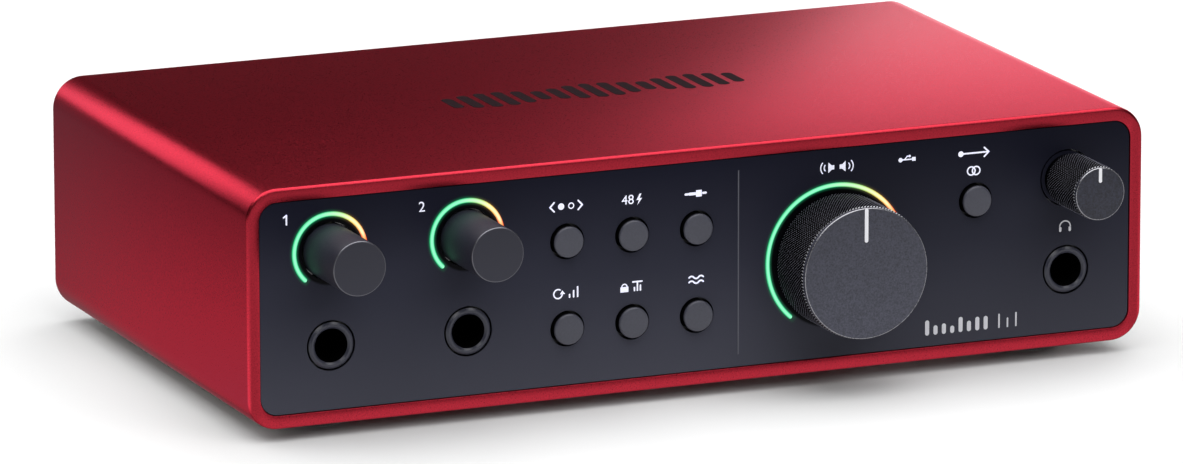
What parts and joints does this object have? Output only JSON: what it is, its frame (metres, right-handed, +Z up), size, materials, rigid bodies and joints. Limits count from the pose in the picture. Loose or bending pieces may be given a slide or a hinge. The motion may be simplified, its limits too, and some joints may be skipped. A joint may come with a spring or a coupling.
{
  "type": "audio interface",
  "caption": "Desktop audio interface: red anodised sleeve, dark front panel with lit gain and output knobs, small push buttons and jack sockets; sockets and ports at the rear.",
  "frame": {"origin": "middle of the footprint, at the level the rubber feet stand on", "axes": "+X across the width, to the right seen from the front; -Y out of the front panel; +Z up"},
  "size_m": [0.18, 0.117, 0.0475],
  "materials": {
    "red_anodised": "fine bead-blast, satin anodised",
    "panel_black": "smooth satin",
    "foot_rubber": "matte",
    "screw_steel": "dark plated",
    "board_green": "lacquered circuit board",
    "chip_black": "matte",
    "capacitor_can": "satin",
    "lamp_white": "clear lens",
    "ring_light": "lit, translucent",
    "pot_case": "stamped sheet",
    "jack_black": "moulded",
    "contact_brass": "gold plated",
    "port_steel": "drawn shell",
    "knob_grey": "soft touch",
    "knob_face": "fine grain",
    "pointer_white": "inlay",
    "button_grey": "smooth satin",
    "plunger_white": "moulded",
    "shaft_steel": "turned"
  },
  "bodies": {
    "chassis": {"case_sleeve": "red_anodised", "front_panel": "panel_black", "rear_panel": "panel_black", "rubber_feet": "foot_rubber", "rear_screws": "screw_steel", "main_board": "board_green", "main_board_chips": "chip_black", "board_capacitors": "capacitor_can", "board_connector": "chip_black", "control_board": "board_green", "control_board_screws": "screw_steel", "ring_leds": "lamp_white", "output_ring": "ring_light", "gain_ring_1": "ring_light", "gain_ring_2": "ring_light", "output_pot": "pot_case", "output_pot_nut": "screw_steel", "headphone_pot": "pot_case", "gain_encoder_1": "pot_case", "gain_encoder_2": "pot_case", "button_switches": "chip_black", "input_jack_1": "jack_black", "input_jack_2": "jack_black", "headphone_jack": "jack_black", "output_jack_left": "jack_black", "output_jack_right": "jack_black", "jack_contacts": "contact_brass", "mic_socket_1": "jack_black", "mic_socket_2": "jack_black", "mic_cores": "jack_black", "mic_contacts": "contact_brass", "usb_port": "port_steel", "power_port": "port_steel", "port_tongues": "chip_black"},
    "gain_control_1": {"gain_knob_1": "knob_grey", "gain_shaft_1": "shaft_steel"},
    "gain_control_2": {"gain_knob_2": "knob_grey", "gain_shaft_2": "shaft_steel"},
    "output_control": {"output_knob_grip": "knob_grey", "output_knob_face": "knob_face", "output_knob_pointer": "pointer_white", "output_shaft": "shaft_steel"},
    "headphone_control": {"headphone_knob_grip": "knob_grey", "headphone_knob_face": "knob_face", "headphone_knob_pointer": "pointer_white", "headphone_shaft": "shaft_steel"},
    "select_push": {"button_select": "button_grey", "plunger_select": "plunger_white"},
    "phantom_push": {"button_phantom": "button_grey", "plunger_phantom": "plunger_white"},
    "instrument_push": {"button_instrument": "button_grey", "plunger_instrument": "plunger_white"},
    "auto_push": {"button_auto": "button_grey", "plunger_auto": "plunger_white"},
    "safe_push": {"button_safe": "button_grey", "plunger_safe": "plunger_white"},
    "air_push": {"button_air": "button_grey", "plunger_air": "plunger_white"},
    "direct_push": {"button_direct": "button_grey", "plunger_direct": "plunger_white"}
  },
  "joints": [
    {"name": "gain_1_turn", "type": "hinge", "parent": "chassis", "child": "gain_control_1", "pos_m": [-0.07365, -0.05, 0.0349], "axis": [0, 1, 0], "continuous": true},
    {"name": "gain_2_turn", "type": "hinge", "parent": "chassis", "child": "gain_control_2", "pos_m": [-0.0467, -0.05, 0.0349], "axis": [0, 1, 0], "continuous": true},
    {"name": "output_turn", "type": "hinge", "parent": "chassis", "child": "output_control", "pos_m": [0.02722, -0.05, 0.024], "axis": [0, 1, 0], "range_deg": [-150, 150]},
    {"name": "headphone_turn", "type": "hinge", "parent": "chassis", "child": "headphone_control", "pos_m": [0.07444, -0.05, 0.0349], "axis": [0, 1, 0], "range_deg": [-150, 150]},
    {"name": "select_press", "type": "slide", "parent": "chassis", "child": "select_push", "axis": [0, 1, 0], "range_m": [0, 0.0008], "stiffness_N_per_m": 300, "springref_m": -0.0015},
    {"name": "phantom_press", "type": "slide", "parent": "chassis", "child": "phantom_push", "axis": [0, 1, 0], "range_m": [0, 0.0008], "stiffness_N_per_m": 300, "springref_m": -0.0015},
    {"name": "instrument_press", "type": "slide", "parent": "chassis", "child": "instrument_push", "axis": [0, 1, 0], "range_m": [0, 0.0008], "stiffness_N_per_m": 300, "springref_m": -0.0015},
    {"name": "auto_press", "type": "slide", "parent": "chassis", "child": "auto_push", "axis": [0, 1, 0], "range_m": [0, 0.0008], "stiffness_N_per_m": 300, "springref_m": -0.0015},
    {"name": "safe_press", "type": "slide", "parent": "chassis", "child": "safe_push", "axis": [0, 1, 0], "range_m": [0, 0.0008], "stiffness_N_per_m": 300, "springref_m": -0.0015},
    {"name": "air_press", "type": "slide", "parent": "chassis", "child": "air_push", "axis": [0, 1, 0], "range_m": [0, 0.0008], "stiffness_N_per_m": 300, "springref_m": -0.0015},
    {"name": "direct_press", "type": "slide", "parent": "chassis", "child": "direct_push", "axis": [0, 1, 0], "range_m": [0, 0.0008], "stiffness_N_per_m": 300, "springref_m": -0.0015}
  ]
}
